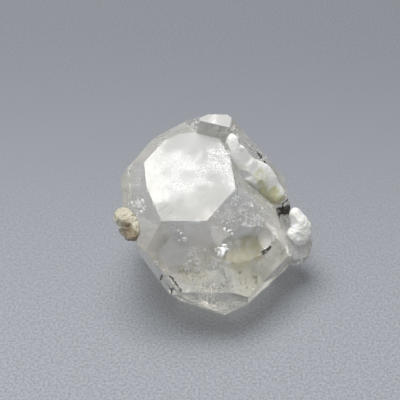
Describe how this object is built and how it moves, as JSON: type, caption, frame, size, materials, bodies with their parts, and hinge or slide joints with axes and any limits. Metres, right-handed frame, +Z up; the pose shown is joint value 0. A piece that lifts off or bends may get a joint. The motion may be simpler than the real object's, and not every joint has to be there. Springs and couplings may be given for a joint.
{
  "type": "topaz crystal specimen",
  "caption": "Loose colourless crystal with a flat bright top, sloping faces and a broken base, with white feldspar in its joins and a brown lump on one side.",
  "frame": {"origin": "bottom centre of the bounding box, on the surface that the specimen rests on", "axes": "+Z up, +X to the right and +Y to the back as pictured, so the bright top face leans towards -Y"},
  "size_m": [0.025, 0.0218, 0.0229],
  "materials": {
    "topaz": "natural crystal faces, clear to cloudy",
    "feldspar": "dull, white to olive",
    "white_crust": "dull, chalky white",
    "matrix": "rough, brown and cream"
  },
  "bodies": {
    "root": {"topaz_crystal": "topaz", "feldspar_seam": "feldspar", "feldspar_crust": "white_crust", "matrix_lump": "matrix"}
  },
  "joints": []
}
